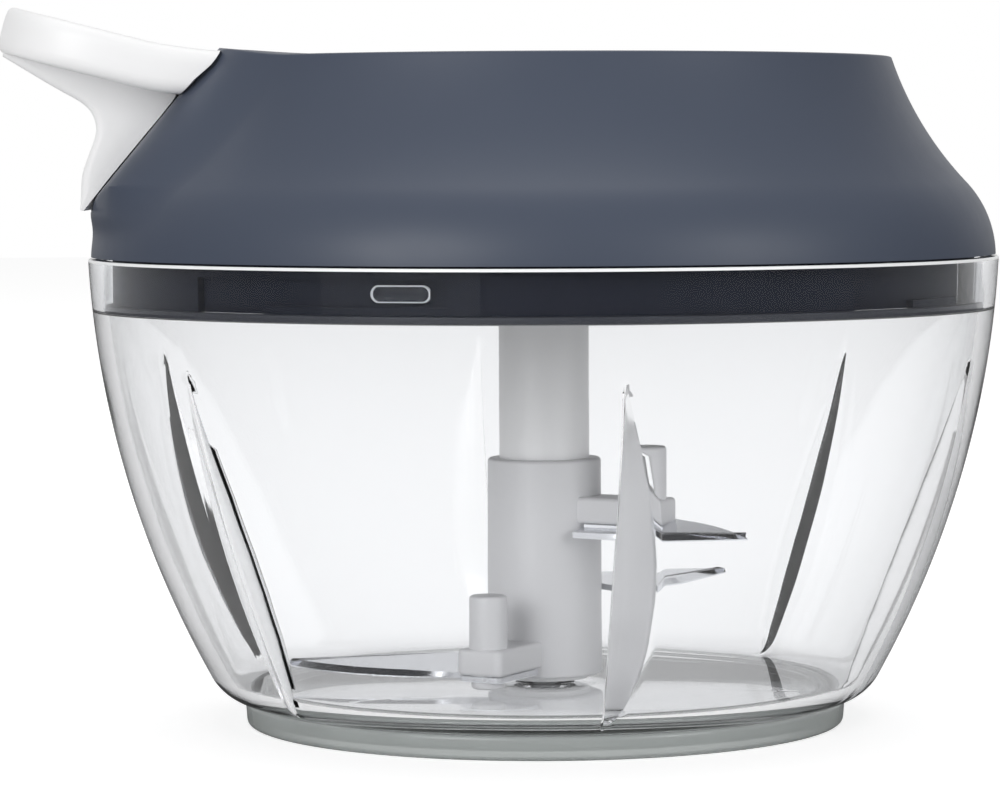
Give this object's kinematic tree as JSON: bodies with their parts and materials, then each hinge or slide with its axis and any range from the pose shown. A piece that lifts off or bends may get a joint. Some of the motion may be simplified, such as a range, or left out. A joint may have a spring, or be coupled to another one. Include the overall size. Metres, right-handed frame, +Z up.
{
  "type": "pull cord food chopper",
  "caption": "Hand food chopper: clear ribbed bowl on a soft ring, twist-lock lid with side pull handle, cord drum and one-way drive, blade spindle on a floor pivot.",
  "frame": {"origin": "on the bowl's axis, at the level it stands on", "axes": "+Z up along the bowl's axis; the pull handle points to -X, so the longest extent is along X"},
  "size_m": [0.1649, 0.1506, 0.1186],
  "materials": {
    "clear_plastic": "clear, polished",
    "slate_plastic": "satin",
    "charcoal_plastic": "satin",
    "white_plastic": "satin",
    "grey_rubber": "translucent, soft",
    "silicone": "soft",
    "blade_steel": "ground",
    "pin_steel": "turned",
    "spring_steel": "blued",
    "brass": "turned",
    "cord": "braided"
  },
  "bodies": {
    "bowl": {"bowl": "clear_plastic", "base_ring": "grey_rubber", "pivot_pin": "pin_steel"},
    "seal": {"lid_seal": "silicone"},
    "spindle": {"spindle_post": "white_plastic", "blade_hub": "white_plastic", "blade_upper": "blade_steel", "blade_middle": "blade_steel", "blade_lower": "blade_steel"},
    "lid": {"lid_shell": "slate_plastic", "lid_base": "charcoal_plastic", "drive_bush": "brass", "shell_screws": "pin_steel", "drive_bridge": "charcoal_plastic", "bridge_screws": "pin_steel", "cord_guide": "white_plastic", "pull_cord": "cord", "recoil_spring": "spring_steel"},
    "shaft": {"drive_shaft": "white_plastic", "shaft_clip": "spring_steel", "ratchet_wheel": "pin_steel"},
    "drum": {"cord_drum": "white_plastic", "cord_winding": "cord", "pawl_pins": "pin_steel", "pawl_springs": "spring_steel", "drum_washer": "pin_steel"},
    "pawl_a": {"pawl_1": "pin_steel"},
    "pawl_b": {"pawl_2": "pin_steel"},
    "handle": {"pull_handle": "white_plastic", "handle_plug": "white_plastic", "cord_knot": "cord"}
  },
  "joints": [
    {"name": "lid_turn", "type": "hinge", "parent": "bowl", "child": "seal", "pos_m": [0, 0, 0.07], "axis": [0, 0, 1], "range_deg": [0, 25]},
    {"name": "lid_lift", "type": "slide", "parent": "seal", "child": "lid", "axis": [0, 0, 1], "range_m": [0, 0.09]},
    {"name": "handle_pull", "type": "slide", "parent": "lid", "child": "handle", "axis": [-1, 0, 0], "range_m": [0, 0.28], "stiffness_N_per_m": 12, "springref_m": -0.25, "deforming": ["pull_cord", "recoil_spring"]},
    {"name": "drum_spin", "type": "hinge", "parent": "lid", "child": "drum", "pos_m": [0, 0, 0.096], "axis": [0, 0, 1], "range_deg": [0, 823.2]},
    {"name": "shaft_spin", "type": "hinge", "parent": "lid", "child": "shaft", "pos_m": [0, 0, 0.075], "axis": [0, 0, 1], "range_deg": [0, 823.2]},
    {"name": "blade_spin", "type": "hinge", "parent": "seal", "child": "spindle", "pos_m": [0, 0, 0.02], "axis": [0, 0, 1], "range_deg": [0, 823.2]},
    {"name": "pawl_1_lift", "type": "hinge", "parent": "drum", "child": "pawl_a", "pos_m": [0.016, 0, 0.085], "axis": [0, 0, 1], "range_deg": [-12, 0], "stiffness_Nm_per_rad": 0.002, "springref_deg": 28.65},
    {"name": "pawl_2_lift", "type": "hinge", "parent": "drum", "child": "pawl_b", "pos_m": [-0.016, 0, 0.085], "axis": [0, 0, 1], "range_deg": [-12, 0], "stiffness_Nm_per_rad": 0.002, "springref_deg": 28.65}
  ],
  "couplings": [
    {"joint": "drum_spin", "follows": "handle_pull", "rad_per_m": 51.282},
    {"joint": "shaft_spin", "follows": "handle_pull", "rad_per_m": 51.282},
    {"joint": "blade_spin", "follows": "handle_pull", "rad_per_m": 51.282}
  ]
}
